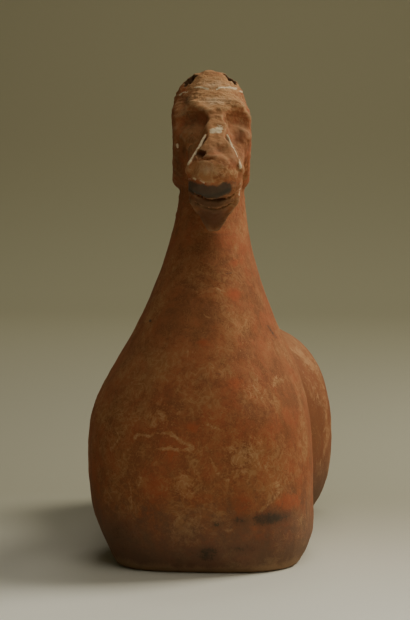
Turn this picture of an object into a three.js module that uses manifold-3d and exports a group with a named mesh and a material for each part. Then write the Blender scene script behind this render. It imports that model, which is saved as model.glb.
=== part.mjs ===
// A legless pottery tomb horse in the Western Han manner, one piece that rests on its own underside.
// Its ears, tail and legs were separate pieces, long lost, and their empty sockets are open.
// Millimetres, +Z up. The horse looks along -Y, and the origin is on the floor under its middle.
import * as THREE from "three";
import { mergeVertices } from "three/addons/utils/BufferGeometryUtils.js";
import Module from "manifold-3d";

// Driving dimensions of the figure
const height = 540; // floor to the crown of the head
const length = 580; // breast to buttocks
const chestWidth = 248; // across the shoulders
const haunchWidth = 238; // across the thighs
const headLength = 205; // crown to the end of the nose
const headWidth = 84; // across the cheeks
const faceSlope = THREE.MathUtils.degToRad(28); // face line, below the horizontal
const crownSetBack = 100; // crown, forward of the middle of the body
const headTurn = THREE.MathUtils.degToRad(7.5); // the head is turned this far towards +X
const headLean = 8; // the head and neck stand this far to +X of the body
const bellyRise = 22; // underside between the fore and hind parts, above the floor

// Sockets for the lost pieces
const legSocket = { width: 36, depth: 45, track: 120, fore: -165, hind: 178 };
const tailSocket = { width: 26, depth: 34, above: 168 };
const earSocket = {
  width: 15.6, span: 14, depth: 18, apart: 44, leftAlong: 0.078, rightAlong: 0.06, down: 0.03,
  tilt: THREE.MathUtils.degToRad(25),
};
const nostril = {
  width: 12, length: 13, across: 0.33, along: 0.835, inside: 0.12, leftDepth: 9, rightDepth: 3,
};
const mouth = { gap: 3.5, length: 50, down: 0.25 };

// Cells of the grid that the skin is drawn on, and how its vertices are evened out
const cells = { across: 16, along: 30, torso: 11, neck: 8, head: 25 };
const evening = { turns: 3, share: 0.6, mostMove: 8 };

// How softly each form flows into the rest
const flow = {
  thigh: 24, cleft: 14, breast: 34, arch: 10, mane: 9, head: 7,
  cheek: 6, lip: 6, brow: 6, hollow: 6, eye: 8, flare: 6, crest: 10, jaw: 4, jawRim: 8,
};

const { clamp, lerp } = THREE.MathUtils;
const halfChest = chestWidth / 2;
const halfHaunch = haunchWidth / 2;
const halfHead = headWidth / 2;

// A smooth line through [place, value] pairs, held level past both ends.
function curve(...pairs) {
  const last = pairs.length - 1;
  const slopes = pairs.map((pair, i) => {
    const [before, after] = [pairs[Math.max(i - 1, 0)], pairs[Math.min(i + 1, last)]];
    return (after[1] - before[1]) / (after[0] - before[0]);
  });
  return (place) => {
    if (place <= pairs[0][0]) return pairs[0][1];
    if (place >= pairs[last][0]) return pairs[last][1];
    const i = pairs.findIndex((pair) => pair[0] > place) - 1;
    const span = pairs[i + 1][0] - pairs[i][0];
    const t = (place - pairs[i][0]) / span;
    const ease = t * t * (3 - 2 * t);
    const lift = span * t * (1 - t) * ((1 - t) * slopes[i] - t * slopes[i + 1]);
    return lerp(pairs[i][1], pairs[i + 1][1], ease) + lift;
  };
}

// Forms are signed distances in millimetres, below zero in the clay. These two join and scoop them softly.
function join(a, b, reach) {
  const share = clamp(0.5 + (b - a) / (2 * reach), 0, 1);
  return lerp(b, a, share) - reach * share * (1 - share);
}

function scoop(a, b, reach) {
  return -join(-a, b, reach);
}

function both(a, b, reach) {
  return -join(-a, -b, reach);
}

// An egg with three radii, at a place counted from its middle.
function egg(x, y, z, rx, ry, rz) {
  const near = Math.hypot(x / rx, y / ry, z / rz);
  const steep = Math.hypot(x / rx ** 2, y / ry ** 2, z / rz ** 2);
  return steep === 0 ? -Math.min(rx, ry, rz) : (near * (near - 1)) / steep;
}

// A rounded block, whose power sets how square its section is.
function loaf(shares, power, size) {
  const sum = shares.reduce((total, share) => total + Math.abs(share) ** power, 0);
  return (sum ** (1 / power) - 1) * size;
}

// A rod with round ends between two places, with a radius for each.
function rod(p, { start, end, radii }) {
  const run = end.map((at, i) => at - start[i]);
  const from = p.map((at, i) => at - start[i]);
  const dot = run.reduce((total, step, i) => total + step * from[i], 0);
  const t = clamp(dot / run.reduce((total, step) => total + step * step, 0), 0, 1);
  return Math.hypot(...from.map((at, i) => at - run[i] * t)) - lerp(...radii, t);
}

// Breast and neck are one upright form, whose section is set by its height as a share of the figure's.
const breastHalf = curve(
  [0, 0.82], [0.02, 0.868], [0.055, 0.932], [0.11, 0.978], [0.19, 1], [0.26, 0.99], [0.31, 0.955],
  [0.355, 0.885], [0.405, 0.785], [0.45, 0.68], [0.5, 0.58], [0.565, 0.47], [0.63, 0.38],
  [0.69, 0.32], [0.76, 0.28], [0.93, 0.25],
);
const breastFront = curve(
  [0, -0.45], [0.055, -0.472], [0.13, -0.49], [0.21, -0.498], [0.3, -0.49], [0.37, -0.466],
  [0.46, -0.425], [0.555, -0.378], [0.65, -0.336], [0.74, -0.303], [0.83, -0.276],
);
const napeLine = curve(
  [0, -0.02], [0.28, -0.01], [0.41, 0.01], [0.455, 0], [0.49, -0.024], [0.555, -0.058],
  [0.65, -0.085], [0.74, -0.096], [0.83, -0.1], [0.91, -0.106], [0.97, -0.13],
);
const breastPower = curve([0, 3.5], [0.06, 2.7], [0.2, 2.15]);
const swayAt = curve(
  [0, 1.2], [0.05, 1], [0.12, 0.15], [0.2, -0.15], [0.32, -0.15],
  [0.42, 0.2], [0.5, 0.45], [0.62, 0.8], [0.76, 1],
);
const column = { top: 0.94 * height, round: 0.03 * height };

function neckAndBreast(x, y, z) {
  const up = z / height;
  const [front, back] = [breastFront(up) * length, napeLine(up) * length];
  const [half, deep] = [breastHalf(up) * halfChest, (back - front) / 2];
  const form = loaf([x / half, (y - (front + back) / 2) / deep], breastPower(up), Math.min(half, deep));
  return both(form, z - column.top, column.round);
}

// The cropped mane stands on the nape as a low ridge.
const mane = { thickness: 18, proud: 9, from: 0.5, to: 0.94 };

function maneRidge(x, y, z) {
  const up = z / height;
  const behind = y - napeLine(up) * length - mane.proud;
  const ends = Math.max(mane.from - up, up - mane.to) * height;
  const inside = napeLine(up) * length - 4 * mane.proud - y;
  return both(Math.abs(x) - mane.thickness / 2, Math.max(behind, ends, inside), 5);
}

// The body lies along Y, from behind the breast to the buttocks. Places are shares of its length.
const barrelHalf = curve([-0.1, 0.86], [0, 0.8], [0.08, 0.81], [0.18, 0.94], [0.28, 1]);
const backLine = curve(
  [-0.1, 0.455], [0, 0.45], [0.09, 0.43], [0.17, 0.424], [0.28, 0.441], [0.345, 0.447],
);
const barrelPower = curve([0.13, 2.6], [0.25, 2.45]);
const bodyMiddle = 0.185 * height;
const bellyDepth = 0.21 * height;
const shoulders = { from: -0.1 * length, run: 0.2 * length };
const rump = { from: 0.26 * length, run: 0.24 * length };

function barrel(x, y, z) {
  const along = y / length;
  const half = barrelHalf(along) * halfHaunch;
  const top = backLine(along) * height - bodyMiddle;
  const tall = z > bodyMiddle ? top : bellyDepth;
  const past = Math.max(0, (y - rump.from) / rump.run, (shoulders.from - y) / shoulders.run);
  const shares = [x / half, (z - bodyMiddle) / tall, past];
  return loaf(shares, barrelPower(z / height), Math.min(half, top));
}

const thighMiddle = [0.5 * halfHaunch, 0.305 * length, 0.17 * height];
const thighSize = [0.5 * halfHaunch, 0.155 * length, 0.21 * height];

function thigh(x, y, z) {
  return egg(x - thighMiddle[0], y - thighMiddle[1], z - thighMiddle[2], ...thighSize);
}

// The cleft of the buttocks runs down from the tail.
const cleft = {
  start: [0, 0.53 * length, 0],
  end: [0, 0.53 * length, tailSocket.above - tailSocket.width],
  radii: [0.035 * length, 0.035 * length],
};

// Head places are [across, along the face, down from the face line], in shares of its half width and length.
const crown = { y: -crownSetBack, z: height };
const headShare = (across, along, down) => [across * halfHead, along * headLength, down * headLength];
const headRod = (start, end, ...radii) => ({
  start: headShare(...start),
  end: headShare(...end),
  radii: radii.map((radius) => radius * headLength),
});
const skullHalf = curve(
  [-0.06, 0.8], [0.05, 0.96], [0.2, 0.96], [0.34, 0.94],
  [0.49, 0.84], [0.63, 0.7], [0.78, 0.64], [0.93, 0.61],
);
const skullTop = curve([-0.06, 0.03], [0.03, -0.018], [0.14, -0.012], [0.5, 0.02], [0.75, 0.03], [1, 0.045]);
const skullPower = curve([0, 2], [0.15, 2.2], [0.3, 2.7]);
const skullBase = curve(
  [0, 0.42], [0.2, 0.47], [0.34, 0.47], [0.5, 0.38], [0.63, 0.3], [0.8, 0.262], [1, 0.245],
);
const skullEnds = { crown: 0.05, crownRun: 0.12, nose: 0.84, noseRun: 0.16 };
const crest = headRod([0, 0.04, 0.05], [0, -0.05, 0.24], 0.042, 0.05);
const brows = [
  headRod([0.2, 0.422, 0.044], [0.53, 0.36, 0.038], 0.028, 0.033),
  headRod([0.53, 0.36, 0.038], [0.77, 0.37, 0.095], 0.033, 0.032),
];
const hollows = [
  headRod([0.55, 0.5, 0.03], [0.84, 0.5, 0.04], 0.07, 0.1),
  headRod([0.84, 0.5, 0.035], [0.84, 0.68, 0.06], 0.105, 0.112),
  headRod([0.84, 0.68, 0.06], [0.96, 0.86, 0.11], 0.112, 0.07),
];
const eye = { at: headShare(0.58, 0.48, 0.15), size: headShare(0.3, 0.06, 0.05) };
const flare = headRod([0.2, 0.58, 0.07], [0.62, 0.88, 0.13], 0.012, 0.03);
const upperLip = { at: headShare(0, 0.905, 0.175), size: headShare(0.67, 0.105, 0.095) };
const lowerLip = headRod([0, 0.95, 0.3], [0.48, 0.89, 0.295], 0.036, 0.034);
const jowl = { at: headShare(0, 0.3, 0.3), radius: 0.228 * headLength, round: 0.045 * headLength };
const jaw = {
  top: 0.27, base: 0.5, back: 0.3, cover: 0.08, half: [0.68, 0.18], front: [0.985, 0.9], round: 0.14,
};
const jawPower = 2.3;

function skull(x, u, v) {
  const along = u / headLength;
  const half = skullHalf(along) * halfHead;
  const [top, base] = [skullTop(along) * headLength, skullBase(along) * headLength];
  const tall = (base - top) / 2;
  const beyondNose = (along - skullEnds.nose) / skullEnds.noseRun;
  const past = Math.max(0, beyondNose, (skullEnds.crown - along) / skullEnds.crownRun);
  const ring = Math.hypot(x / half, past);
  return loaf([ring, (v - (top + base) / 2) / tall], skullPower(along), Math.min(half, tall));
}

// The flat cheeks are one thick coin that spans the head.
function cheeks(x, u, v) {
  const out = Math.hypot(u - jowl.at[1], v - jowl.at[2]) - jowl.radius + jowl.round;
  const side = x - halfHead + jowl.round;
  const corner = Math.hypot(Math.max(out, 0), Math.max(side, 0));
  return corner + Math.min(Math.max(out, side), 0) - jowl.round;
}

// The lower jaw narrows and draws back downwards to the chin.
function lowerJaw(x, u, v) {
  const [along, deep] = [u / headLength, v / headLength];
  const down = clamp((deep - jaw.top) / (jaw.base - jaw.top), 0, 1);
  const half = lerp(...jaw.half, down) * halfHead;
  const past = Math.max(0, (along - lerp(...jaw.front, down)) / jaw.round + 1);
  const form = both(loaf([x / half, past], jawPower, half), (deep - jaw.base) * headLength, flow.jawRim);
  const hidden = Math.max(jaw.top - jaw.cover - deep, jaw.back - along) * headLength;
  return both(form, hidden, flow.jaw);
}

// Below the forehead, the face leans off the middle of the head towards +X.
const faceDrift = curve([0.2, 0], [0.4, 0.1], [0.65, 0.1], [0.9, 0.05]);

// The head turns about the top of the neck.
const pivot = crown.y - 0.14 * headLength;
const turnHead = (x, y) => [
  x * Math.cos(headTurn) + (y - pivot) * Math.sin(headTurn),
  pivot + (y - pivot) * Math.cos(headTurn) - x * Math.sin(headTurn),
];

function head(aside, ahead, z) {
  const [turned, y] = turnHead(aside, ahead);
  const [dy, dz] = [y - crown.y, z - crown.z];
  const u = -dy * Math.cos(faceSlope) - dz * Math.sin(faceSlope);
  const v = dy * Math.sin(faceSlope) - dz * Math.cos(faceSlope);
  const p = [Math.abs(turned - faceDrift(u / headLength) * halfHead), u, v];
  const from = (place) => p.map((at, i) => at - place[i]);
  let form = join(skull(...p), cheeks(Math.abs(turned), u, v), flow.cheek);
  form = join(form, egg(...from(upperLip.at), ...upperLip.size), flow.lip);
  brows.forEach((brow) => {
    form = join(form, rod(p, brow), flow.brow);
  });
  hollows.forEach((hollow) => {
    form = scoop(form, rod(p, hollow), flow.hollow);
  });
  form = join(form, egg(...from(eye.at), ...eye.size), flow.eye);
  form = join(form, rod(p, flare), flow.flare);
  form = join(form, rod(p, crest), flow.crest);
  form = join(form, lowerJaw(...p), flow.jaw);
  return join(form, rod(p, lowerLip), flow.jaw);
}

// The whole figure above the floor, before its sockets are bored.
function clay(x, y, z) {
  const across = Math.abs(x);
  const aside = x - headLean * swayAt(z / height);
  const leaned = Math.abs(aside);
  let form = join(barrel(across, y, z), thigh(across, y, z), flow.thigh);
  form = scoop(form, rod([across, y, z], cleft), flow.cleft);
  form = join(form, neckAndBreast(leaned, y, z), flow.breast);
  form = scoop(form, bellyArch(y, z), flow.arch);
  form = join(form, maneRidge(leaned, y, z), flow.mane);
  return join(form, head(aside, y, z), flow.head);
}

// The underside rises between the fore and hind parts.
const arch = { from: -0.15 * length, to: 0.19 * length };

function bellyArch(y, z) {
  const middle = (arch.from + arch.to) / 2;
  const share = (y - middle) / ((arch.to - arch.from) / 2);
  return z - bellyRise * (1 - share ** 4);
}

// The grid narrows as the figure does, so that the head gets small cells and the body large ones.
const widest = Math.max(halfChest, halfHaunch);
const noseFront = -crownSetBack - 1.02 * headLength * Math.cos(faceSlope);
const foreheadFront = -crownSetBack - 0.47 * headLength;
const cheekBack = Math.max(-crownSetBack + 0.3 * headLength, -0.1 * length + 2 * mane.proud);
const crownBack = -crownSetBack + 0.18 * headLength;
const gridHalf = curve(
  [0.34, 1.1 * widest], [0.47, 0.92 * widest], [0.56, 0.66 * widest],
  [0.7, 1.3 * halfHead], [0.8, 1.21 * halfHead],
);
const gridFront = curve([0.4, -0.53 * length], [0.5, noseFront], [0.82, noseFront], [1, foreheadFront]);
const gridBack = curve(
  [0.45, 0.53 * length], [0.53, 0.1 * length], [0.62, -0.02 * length], [0.86, cheekBack], [1, crownBack],
);
const gridTops = { torso: 0.44 * height, neck: 0.67 * height, head: 1.015 * height };

function gridLevels() {
  const levels = [-gridTops.torso / cells.torso / 2];
  const climb = (count, top) => {
    const start = levels.at(-1);
    for (let i = 1; i <= count; i += 1) levels.push(lerp(start, top, i / count));
  };
  climb(cells.torso, gridTops.torso);
  climb(cells.neck, gridTops.neck);
  climb(cells.head, gridTops.head);
  return levels;
}

function gridPlace(i, j, z) {
  const up = z / height;
  const lean = headLean * swayAt(up);
  const x = lean + (2 * i / cells.across - 1) * gridHalf(up);
  return [x, lerp(gridFront(up), gridBack(up), j / cells.along), z];
}

function slopeOf(field, [x, y, z]) {
  const step = 0.4;
  return [
    (field(x + step, y, z) - field(x - step, y, z)) / (2 * step),
    (field(x, y + step, z) - field(x, y - step, z)) / (2 * step),
    (field(x, y, z + step) - field(x, y, z - step)) / (2 * step),
  ];
}

// Moves a place onto the surface of the clay. One on the floor stays on it.
function settle(place, mostMove) {
  const onFloor = place[2] === 0;
  let at = place;
  for (let turn = 0; turn < 5; turn += 1) {
    const slope = slopeOf(clay, at);
    if (onFloor) slope[2] = 0;
    const steep = slope.reduce((total, s) => total + s * s, 0);
    if (steep < 1e-4) return place;
    const move = clay(...at) / steep;
    at = at.map((value, axis) => value - move * slope[axis]);
  }
  const gone = Math.hypot(...at.map((value, axis) => value - place[axis]));
  return gone < mostMove ? at : place;
}

// A cell has eight corners, whose numbers tell their sides in X, Y and Z by their bits.
const corners = [0, 1, 2, 3, 4, 5, 6, 7];
const isEdge = (a, b) => [1, 2, 4].includes(a ^ b);
const edges = corners.flatMap((a) => corners.filter((b) => a < b && isEdge(a, b)).map((b) => [a, b]));

function makeGrid() {
  const levels = gridLevels();
  const strides = [1, cells.across + 1, (cells.across + 1) * (cells.along + 1)];
  const places = [];
  const rings = [];
  levels.forEach((z, k) => {
    for (let j = 0; j <= cells.along; j += 1) {
      for (let i = 0; i <= cells.across; i += 1) {
        const first = places.length;
        const whole = i < cells.across && j < cells.along && k < levels.length - 1;
        places.push(gridPlace(i, j, z));
        if (!whole) continue;
        rings.push(corners.map((n) => first + (n & 1) + ((n >> 1) & 1) * strides[1] + (n >> 2) * strides[2]));
      }
    }
  });
  const values = places.map((place) => Math.max(clay(...place), -place[2]));
  return { places, values, rings, strides };
}

// Where clay would touch clay only at an edge or a corner of a cell, the lesser part changes sides.
function partTouching({ values, rings }) {
  let changes = rings.length;
  for (let turn = 0; changes && turn < 40; turn += 1) {
    changes = 0;
    rings.forEach((ring) => [true, false].forEach((side) => {
      const alike = corners.filter((n) => values[ring[n]] < 0 === side);
      const joined = alike.slice(0, 1);
      for (let n = 0; n < joined.length; n += 1) {
        joined.push(...alike.filter((other) => isEdge(joined[n], other) && !joined.includes(other)));
      }
      const rest = alike.filter((n) => !joined.includes(n));
      const lesser = joined.length < rest.length ? joined : rest;
      lesser.forEach((n) => {
        values[ring[n]] *= -1;
      });
      changes += lesser.length;
    }));
  }
}

// The middle of the places where the surface crosses the edges of a cell.
function crossingOf(ring, { places, values }) {
  const cut = edges.filter(([m, n]) => values[ring[m]] < 0 !== values[ring[n]] < 0);
  if (!cut.length) return null;
  const middle = [0, 0, 0];
  cut.forEach(([m, n]) => {
    const [a, b] = [ring[m], ring[n]];
    const share = values[a] / (values[a] - values[b]);
    places[a].forEach((value, axis) => {
      middle[axis] += lerp(value, places[b][axis], share) / cut.length;
    });
  });
  return middle;
}

// A vertex of the lowest cells lies on the floor, on the outline of the clay where that is near.
function setVertex(middle, isLowest, span) {
  if (!isLowest) return settle(middle, span);
  const onFloor = [middle[0], middle[1], 0];
  const gap = clay(...onFloor);
  if (gap > 0 && bellyArch(middle[1], 0) < -1) return settle([middle[0], middle[1], gap], span);
  return Math.abs(gap) < span / 2 ? settle(onFloor, span) : onFloor;
}

// The surface of the clay as a closed mesh: a vertex to each cell that it crosses, a quad to each edge.
function skinOfClay() {
  const grid = makeGrid();
  const { places, values, rings, strides } = grid;
  partTouching(grid);
  const vertexOf = new Map();
  const vertices = [];
  rings.forEach((ring) => {
    const middle = crossingOf(ring, grid);
    if (!middle) return;
    vertexOf.set(ring[0], vertices.length);
    const span = places[ring[2]][1] - places[ring[0]][1];
    vertices.push(setVertex(middle, ring[0] < strides[2], span));
  });
  const faces = [];
  const gap = (m, n) => Math.hypot(...vertices[m].map((value, axis) => value - vertices[n][axis]));
  rings.forEach(([first]) => strides.forEach((stride, axis) => {
    const inside = values[first] < 0;
    if (inside === values[first + stride] < 0) return;
    const [right, up] = [strides[(axis + 1) % 3], strides[(axis + 2) % 3]];
    const around = [first - right - up, first - up, first, first - right].map((cell) => vertexOf.get(cell));
    const [a, b, c, d] = inside ? around : around.reverse();
    if (gap(a, c) <= gap(b, d)) faces.push([a, b, c], [a, c, d]);
    else faces.push([a, b, d], [b, c, d]);
  }));
  return { vertices: evenOut(vertices, faces), faces };
}

// Moves each vertex above the floor between its neighbours, and back onto the clay.
function evenOut(vertices, faces) {
  const neighbours = vertices.map(() => []);
  faces.forEach(([a, b, c]) => {
    neighbours[a].push(b);
    neighbours[b].push(c);
    neighbours[c].push(a);
  });
  let even = vertices;
  for (let turn = 0; turn < evening.turns; turn += 1) {
    const before = even;
    even = before.map((place, n) => {
      if (place[2] === 0) return place;
      const count = neighbours[n].length;
      const middle = place.map((value, axis) => {
        const sum = neighbours[n].reduce((total, other) => total + before[other][axis], 0);
        return lerp(value, sum / count, evening.share);
      });
      return settle(middle, evening.mostMove);
    });
  }
  return even;
}

const wasm = await Module();
wasm.setup();

function solidFrom(geometry) {
  const bare = new THREE.BufferGeometry().setAttribute("position", geometry.getAttribute("position"));
  if (geometry.index) bare.setIndex(geometry.index);
  const merged = mergeVertices(bare, 1e-3);
  return new wasm.Manifold(new wasm.Mesh({
    numProp: 3,
    vertProperties: merged.attributes.position.array,
    triVerts: new Uint32Array(merged.index.array),
  }));
}

// A round plug along Z with its mouth at the origin: it reaches depth below and a little above.
function plug(width, span, depth) {
  const above = 12;
  const shape = new THREE.CylinderGeometry(width / 2, width / 2, depth + above, 18);
  shape.rotateX(Math.PI / 2).scale(1, span / width, 1).translate(0, 0, (above - depth) / 2);
  return shape;
}

function legPlugs() {
  return [legSocket.fore, legSocket.hind].flatMap((y) => [-1, 1].map((side) => {
    const shape = plug(legSocket.width, legSocket.width, legSocket.depth).rotateX(Math.PI);
    return shape.translate(side * legSocket.track / 2, y, 0);
  }));
}

// The first place outward along a ray where the clay ends.
function surfaceFrom(start, direction) {
  let far = 0;
  while (clay(...start.map((at, axis) => at + far * direction[axis])) < 0) far += 0.5;
  return start.map((at, axis) => at + far * direction[axis]);
}

function tailPlug() {
  const mouthAt = surfaceFrom([0, rump.from, tailSocket.above], [0, 1, 0]);
  const shape = plug(tailSocket.width, tailSocket.width, tailSocket.depth);
  return shape.rotateX(-Math.PI / 2).translate(...mouthAt);
}

function headPlace(across, along, down) {
  const [x, u, v] = headShare(across, along, down);
  const y = crown.y - u * Math.cos(faceSlope) + v * Math.sin(faceSlope) - pivot;
  return [
    headLean + x * Math.cos(headTurn) - y * Math.sin(headTurn),
    pivot + x * Math.sin(headTurn) + y * Math.cos(headTurn),
    crown.z - u * Math.sin(faceSlope) - v * Math.cos(faceSlope),
  ];
}

function earPlugs() {
  return [[-1, earSocket.leftAlong], [1, earSocket.rightAlong]].map(([side, along]) => {
    const out = [side * Math.sin(earSocket.tilt), 0, Math.cos(earSocket.tilt)];
    const near = headPlace((side * earSocket.apart) / headWidth, along, earSocket.down);
    const inside = near.map((at, axis) => at - earSocket.depth * out[axis]);
    const shape = plug(earSocket.width, earSocket.span, earSocket.depth).rotateY(side * earSocket.tilt);
    return shape.translate(...surfaceFrom(inside, out));
  });
}

// The nostril at -X is a hole, and the other one is a shallow dent.
function nostrilPlugs() {
  return [[-1, nostril.leftDepth], [1, nostril.rightDepth]].map(([side, depth]) => {
    const start = headPlace(side * nostril.across, nostril.along, nostril.inside);
    const out = [0, -Math.sin(faceSlope), Math.cos(faceSlope)];
    const shape = new THREE.SphereGeometry(nostril.width / 2, 10, 6);
    shape.scale(1, nostril.length / nostril.width, (2 * depth) / nostril.width).rotateX(faceSlope);
    return shape.translate(...surfaceFrom(start, out));
  });
}

// The parted lips are a thin wedge, cut in from the front of the muzzle.
function mouthWedge() {
  const [ahead, half] = [0.1 * headLength, 1.2 * halfHead];
  const outline = new THREE.Shape([[-mouth.length, 0], [ahead, -mouth.gap], [ahead, mouth.gap]]
    .map(([along, open]) => new THREE.Vector2(along, open / 2)));
  const shape = new THREE.ExtrudeGeometry(outline, { depth: 2 * half, bevelEnabled: false });
  shape.translate(0, 0, -half);
  const [sine, cosine] = [Math.sin(faceSlope), Math.cos(faceSlope)];
  const axes = [[0, -cosine, -sine], [0, -sine, cosine], [-1, 0, 0]];
  shape.applyMatrix4(new THREE.Matrix4().makeBasis(...axes.map((axis) => new THREE.Vector3(...axis))));
  return shape.rotateZ(headTurn).translate(...headPlace(0, 1, mouth.down));
}

function buildHorse() {
  const { vertices, faces } = skinOfClay();
  const skin = new THREE.BufferGeometry().setIndex(faces.flat());
  skin.setAttribute("position", new THREE.Float32BufferAttribute(vertices.flat(), 3));
  let solid = solidFrom(skin);
  [...legPlugs(), tailPlug(), ...earPlugs(), ...nostrilPlugs(), mouthWedge()].forEach((shape) => {
    solid = solid.subtract(solidFrom(shape));
  });
  const { vertProperties, triVerts } = solid.getMesh();
  const geometry = new THREE.BufferGeometry();
  geometry.setAttribute("position", new THREE.BufferAttribute(vertProperties, 3));
  geometry.setIndex(new THREE.BufferAttribute(triVerts, 1));
  geometry.computeBoundingBox();
  const middle = geometry.boundingBox.getCenter(new THREE.Vector3());
  geometry.translate(-middle.x, -middle.y, 0).computeVertexNormals();
  return geometry;
}

const firedClay = new THREE.MeshStandardMaterial({ color: 0x9a5a36, roughness: 0.9, metalness: 0 });
const horse = new THREE.Mesh(buildHorse(), firedClay);
horse.name = "horse";

const tombHorse = new THREE.Group();
tombHorse.add(horse);

export default tombHorse;
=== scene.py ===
"""The looks of a legless pottery tomb horse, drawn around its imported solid.

Metres, +Z up. The horse looks along -Y.
"""
import math

import bpy
import numpy as np
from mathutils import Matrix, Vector, noise


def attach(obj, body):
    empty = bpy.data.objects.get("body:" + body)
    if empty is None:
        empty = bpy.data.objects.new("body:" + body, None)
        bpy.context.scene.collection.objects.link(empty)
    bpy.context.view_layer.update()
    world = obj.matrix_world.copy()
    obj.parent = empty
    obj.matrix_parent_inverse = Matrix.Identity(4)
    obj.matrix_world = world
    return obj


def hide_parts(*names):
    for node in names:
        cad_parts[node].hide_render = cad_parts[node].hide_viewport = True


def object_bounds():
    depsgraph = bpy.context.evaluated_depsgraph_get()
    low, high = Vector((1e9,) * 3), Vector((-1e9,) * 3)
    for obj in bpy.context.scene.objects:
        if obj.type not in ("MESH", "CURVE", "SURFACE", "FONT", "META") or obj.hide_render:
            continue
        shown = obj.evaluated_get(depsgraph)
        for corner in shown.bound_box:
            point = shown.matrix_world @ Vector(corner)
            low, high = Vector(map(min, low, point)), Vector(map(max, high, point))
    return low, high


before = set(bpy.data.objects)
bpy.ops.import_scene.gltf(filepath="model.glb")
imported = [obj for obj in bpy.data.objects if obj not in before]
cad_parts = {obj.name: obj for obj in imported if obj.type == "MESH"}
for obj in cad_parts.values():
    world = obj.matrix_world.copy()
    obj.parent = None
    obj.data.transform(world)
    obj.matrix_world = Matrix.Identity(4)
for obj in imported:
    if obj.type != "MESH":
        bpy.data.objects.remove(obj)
solid_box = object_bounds()

# Driving dimensions, as the solid has them
height = 0.54
length = 0.58
chest_half = 0.248 / 2
haunch_half = 0.238 / 2
head_length = 0.205
head_half = 0.084 / 2
face_slope = math.radians(28)
crown_y = -0.1
head_turn = math.radians(7.5)
head_lean = 0.008
belly_rise = 0.022

# The photograph's frame, and the camera that sees the horse as it does
picture_height, focal_length = 620, 2550  # pixels
camera_yaw, camera_pitch = math.radians(6.4), math.radians(4.25)
camera_away, camera_aside, camera_above = 2.97, -0.0126, 0.4843
camera_place = np.array([
    math.sin(camera_yaw) * camera_away + camera_aside,
    -math.cos(camera_yaw) * camera_away,
    camera_above,
])
camera_ahead = np.array([
    -math.sin(camera_yaw) * math.cos(camera_pitch),
    math.cos(camera_yaw) * math.cos(camera_pitch),
    -math.sin(camera_pitch),
])

# Sockets of the lost legs, tail and ears
leg_socket = {"radius": 0.018, "depth": 0.045, "aside": 0.06, "along": (-0.165, 0.178)}
tail_socket = {"radius": 0.013, "depth": 0.034, "above": 0.168, "mouth": 0.2803}
ear_socket = {
    "half_width": 0.0078, "half_span": 0.007, "depth": 0.018, "aside": 0.022, "down": 0.03,
    "along": (0.078, 0.06), "tilt": math.radians(25),
}

# How softly each form flows into the rest
flow = {
    "thigh": 0.024, "cleft": 0.014, "breast": 0.034, "arch": 0.01, "mane": 0.009, "head": 0.007,
    "cheek": 0.006, "lip": 0.006, "brow": 0.006, "eye": 0.008, "flare": 0.006, "crest": 0.01,
    "jaw": 0.004, "jaw_rim": 0.008, "wing": 0.003, "chin": 0.006, "nostril": 0.0015, "dent": 0.006,
    "crease": 0.004, "mouth": 0.001, "socket": 0.0015, "foot": 0.003,
}

# Cells of the grid that the skin is drawn on, and the tops of its three parts
cells = {"across": 48, "along": 86, "torso": 37, "neck": 26, "head": 72}
tops = {"torso": 0.44 * height, "neck": 0.67 * height, "head": 1.015 * height}


def curve(*pairs):
    """A smooth line through (place, value) pairs, held level past both ends."""
    places, values = (np.array(side, float) for side in zip(*pairs))
    last = len(places) - 1
    before = np.maximum(np.arange(last + 1) - 1, 0)
    after = np.minimum(np.arange(last + 1) + 1, last)
    slopes = (values[after] - values[before]) / (places[after] - places[before])

    def value_at(place):
        at = np.clip(place, places[0], places[-1])
        i = np.clip(np.searchsorted(places, at, side="right") - 1, 0, last - 1)
        span = places[i + 1] - places[i]
        t = (at - places[i]) / span
        ease = t * t * (3 - 2 * t)
        lift = span * t * (1 - t) * ((1 - t) * slopes[i] - t * slopes[i + 1])
        return values[i] * (1 - ease) + values[i + 1] * ease + lift

    return value_at


# Forms are signed distances, below zero in the clay. These join, scoop and keep them softly.
def join(a, b, reach):
    share = np.clip(0.5 + (b - a) / (2 * reach), 0, 1)
    return b + (a - b) * share - reach * share * (1 - share)


def scoop(a, b, reach):
    return -join(-a, b, reach)


def both(a, b, reach):
    return -join(-a, -b, reach)


def egg(x, y, z, rx, ry, rz):
    """An egg with three radii, at a place counted from its middle."""
    near = np.sqrt((x / rx) ** 2 + (y / ry) ** 2 + (z / rz) ** 2)
    steep = np.sqrt((x / rx**2) ** 2 + (y / ry**2) ** 2 + (z / rz**2) ** 2)
    return near * (near - 1) / np.maximum(steep, 1e-6)


def loaf(shares, power, size):
    """A rounded block, whose power sets how square its section is."""
    total = sum(np.abs(share) ** power for share in shares)
    return (total ** (1 / power) - 1) * size


def rod(places, start, end, radii):
    """A rod with round ends, with a radius for each."""
    run = np.subtract(end, start)
    offsets = [at - first for at, first in zip(places, start)]
    t = np.clip(sum(step * off for step, off in zip(run, offsets)) / (run @ run), 0, 1)
    gap = np.sqrt(sum((off - step * t) ** 2 for step, off in zip(run, offsets)))
    return gap - radii[0] - (radii[1] - radii[0]) * t


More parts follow.
